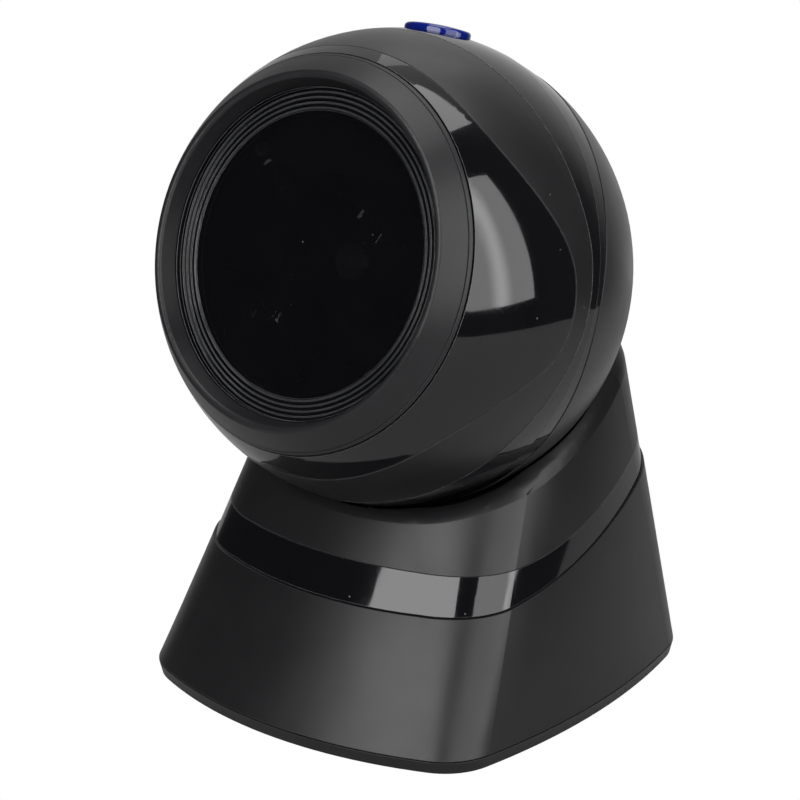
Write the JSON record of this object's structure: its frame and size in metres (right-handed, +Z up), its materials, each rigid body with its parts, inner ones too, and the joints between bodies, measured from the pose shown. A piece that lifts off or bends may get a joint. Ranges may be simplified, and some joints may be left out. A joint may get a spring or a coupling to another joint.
{
  "type": "presentation barcode scanner",
  "caption": "Hands-free presentation scanner for a checkout counter: a ball-shaped head with a round, recessed scan window tilts in the socket of a leaning weighted pedestal.",
  "frame": {"origin": "on the surface the scanner stands on, under the middle of the pedestal", "axes": "+Z up; the scan window looks towards -Y and 18 degrees up; the cable socket faces +Y; the head tilts about a line parallel to X"},
  "size_m": [0.106, 0.1099, 0.1517],
  "materials": {
    "shell_satin": "satin moulded plastic with a very fine grain",
    "shell_gloss": "high-gloss moulded plastic",
    "bezel_satin": "satin moulded plastic with a fine sparkle grain",
    "base_satin": "satin moulded plastic",
    "window_smoked": "smoked, polished",
    "button_blue": "high-gloss deep blue",
    "rubber_black": "matt",
    "inner_black": "matt moulded plastic",
    "mirror_silver": "front-surface mirror",
    "steel": "bright zinc-plated",
    "ballast_steel": "rolled, oiled",
    "aluminium_cast": "machined",
    "brass_turned": "turned",
    "board_green": "solder mask",
    "chip_black": "moulded epoxy",
    "lens_clear": "clear, coated",
    "harness_grey": "smooth jacket"
  },
  "bodies": {
    "base": {"lower_shell": "base_satin", "trim_band": "shell_gloss", "upper_shell": "base_satin", "bottom_plate": "base_satin", "rubber_feet": "rubber_black", "base_screws": "steel", "ballast_plate": "ballast_steel", "ballast_screws": "steel", "interface_board": "board_green", "interface_chips": "chip_black", "port_screws": "steel", "cable_jack": "chip_black", "head_harness": "harness_grey", "socket_cup": "inner_black", "friction_ring": "rubber_black", "socket_screws": "steel", "pivot_stem": "steel", "clamp_saddle": "steel", "spring_washer": "steel", "clamp_nut": "steel"},
    "head": {"front_bezel": "bezel_satin", "window_frame": "shell_gloss", "scan_window": "window_smoked", "window_gasket": "rubber_black", "front_shell": "shell_gloss", "collar_panel": "shell_satin", "crown_panel": "shell_gloss", "trim_ring": "shell_gloss", "rear_shell": "shell_satin", "rear_shell_screws": "steel", "front_housing": "inner_black", "optics_chassis": "inner_black", "mirror_frame": "inner_black", "pattern_mirrors": "mirror_silver", "collector_mirror": "mirror_silver", "fold_mirror": "mirror_silver", "motor_base": "inner_black", "motor_bearing": "brass_turned", "detector_shroud": "inner_black", "detector_board": "board_green", "photodiode": "chip_black", "laser_clamp": "aluminium_cast", "laser_module": "brass_turned", "laser_lens": "lens_clear", "board_posts": "brass_turned", "main_board": "board_green", "main_board_chips": "chip_black", "board_screws": "steel", "sounder": "chip_black", "button_switch": "chip_black", "button_board": "board_green"},
    "polygon": {"polygon_mirror": "mirror_silver", "rotor_cup": "aluminium_cast", "motor_shaft": "steel", "polygon_clip": "steel"},
    "button": {"scan_button": "button_blue", "switch_plunger": "inner_black"}
  },
  "joints": [
    {"name": "head_tilt", "type": "hinge", "parent": "base", "child": "head", "pos_m": [0, -0.009, 0.0983], "axis": [-1, 0, 0], "range_deg": [-24, 10]},
    {"name": "polygon_spin", "type": "hinge", "parent": "head", "child": "polygon", "pos_m": [0, -0.009, 0.0983], "axis": [0, -0.9511, 0.309], "continuous": true},
    {"name": "button_press", "type": "slide", "parent": "head", "child": "button", "axis": [0, -0.2924, -0.9563], "range_m": [0, 0.0006], "stiffness_N_per_m": 1500, "springref_m": -0.0005}
  ]
}
